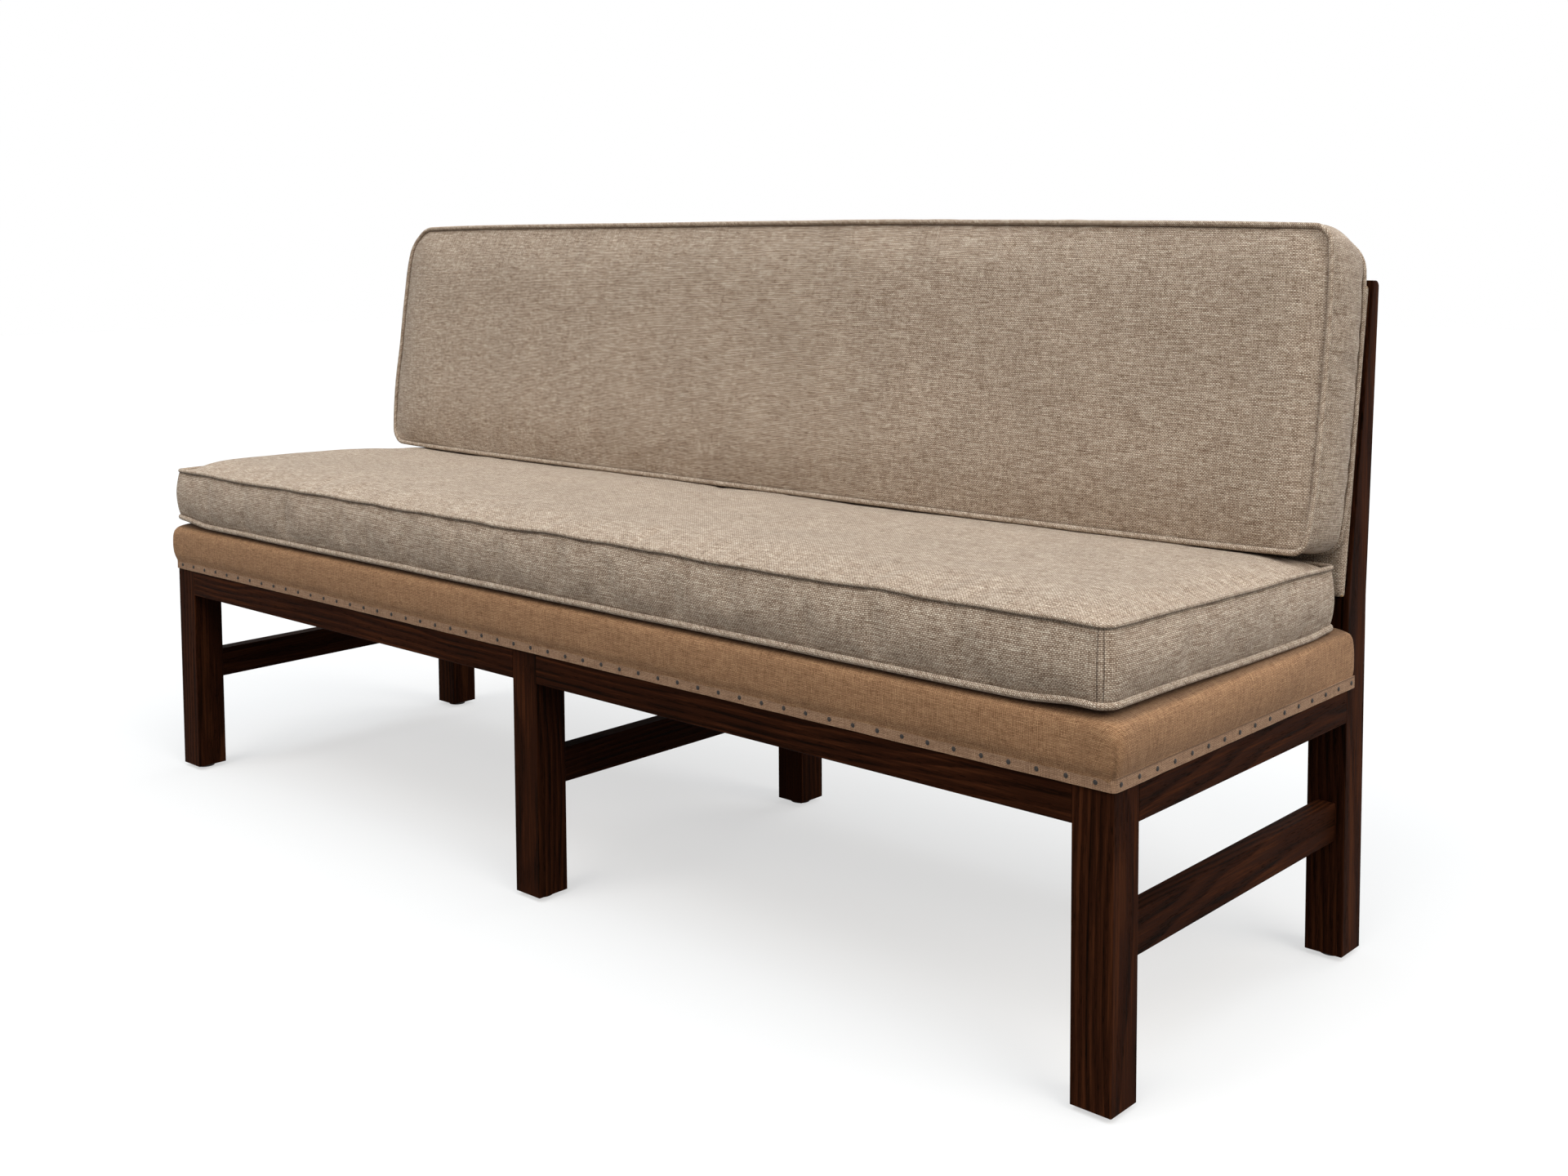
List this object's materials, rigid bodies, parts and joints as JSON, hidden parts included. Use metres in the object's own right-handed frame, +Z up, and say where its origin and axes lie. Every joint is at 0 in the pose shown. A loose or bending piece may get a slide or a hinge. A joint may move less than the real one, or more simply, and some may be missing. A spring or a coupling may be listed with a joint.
{
  "type": "upholstered banquette",
  "caption": "Armless upholstered banquette: a dark oak frame with stretchers, a tacked and rolled-edge seat deck, a raked back panel, and loose welted seat and back cushions.",
  "frame": {"origin": "on the floor, under the middle of the overall box", "axes": "+X along the bench to the sitter's left, seen from the front to the right; +Y to the back; +Z up; the seat faces -Y"},
  "size_m": [1.878, 0.6206, 0.9214],
  "materials": {
    "stained_oak": "satin",
    "pale_hardwood": "matte",
    "plywood": "matte",
    "cushion_fabric": "matte",
    "foam": "matte",
    "hessian": "matte",
    "hessian_tape": "matte",
    "jute_webbing": "matte",
    "canvas": "matte",
    "stuffing": "matte",
    "wadding": "matte",
    "dark_steel": "satin",
    "bright_steel": "satin",
    "glide_plastic": "matte"
  },
  "bodies": {
    "frame": {"front_leg_left": "stained_oak", "front_leg_middle": "stained_oak", "front_leg_right": "stained_oak", "rear_post_left": "stained_oak", "rear_post_middle": "stained_oak", "rear_post_right": "stained_oak", "front_apron_left": "stained_oak", "front_apron_right": "stained_oak", "rear_apron_left": "stained_oak", "rear_apron_right": "stained_oak", "side_apron_left": "stained_oak", "side_apron_right": "stained_oak", "middle_cross_rail": "stained_oak", "stretcher_left": "stained_oak", "stretcher_middle": "stained_oak", "stretcher_right": "stained_oak", "back_top_rail_left": "stained_oak", "back_top_rail_right": "stained_oak", "back_bottom_rail_left": "stained_oak", "back_bottom_rail_right": "stained_oak", "corner_blocks": "pale_hardwood", "corner_block_screws": "bright_steel", "leg_glides": "glide_plastic", "glide_nails": "bright_steel", "seat_webbing_crosswise": "jute_webbing", "seat_webbing_lengthwise": "jute_webbing", "deck_canvas": "canvas", "deck_pad": "stuffing", "deck_cover": "hessian", "deck_tape": "hessian_tape", "deck_tacks": "dark_steel", "back_panel_board": "plywood", "back_panel_wadding": "wadding", "back_panel_cover": "cushion_fabric", "back_panel_screws": "bright_steel"},
    "seat_cushion": {"seat_cushion_core": "foam", "seat_cushion_cover": "cushion_fabric", "seat_cushion_top_welt": "cushion_fabric", "seat_cushion_bottom_welt": "cushion_fabric"},
    "back_cushion": {"back_cushion_core": "foam", "back_cushion_cover": "cushion_fabric", "back_cushion_front_welt": "cushion_fabric", "back_cushion_rear_welt": "cushion_fabric"}
  },
  "joints": [
    {"name": "seat_cushion_lift", "type": "slide", "parent": "frame", "child": "seat_cushion", "axis": [0, 0, 1], "range_m": [0, 0.45]},
    {"name": "back_cushion_lift", "type": "slide", "parent": "seat_cushion", "child": "back_cushion", "axis": [0, 0.1392, 0.9903], "range_m": [0, 0.4]}
  ]
}
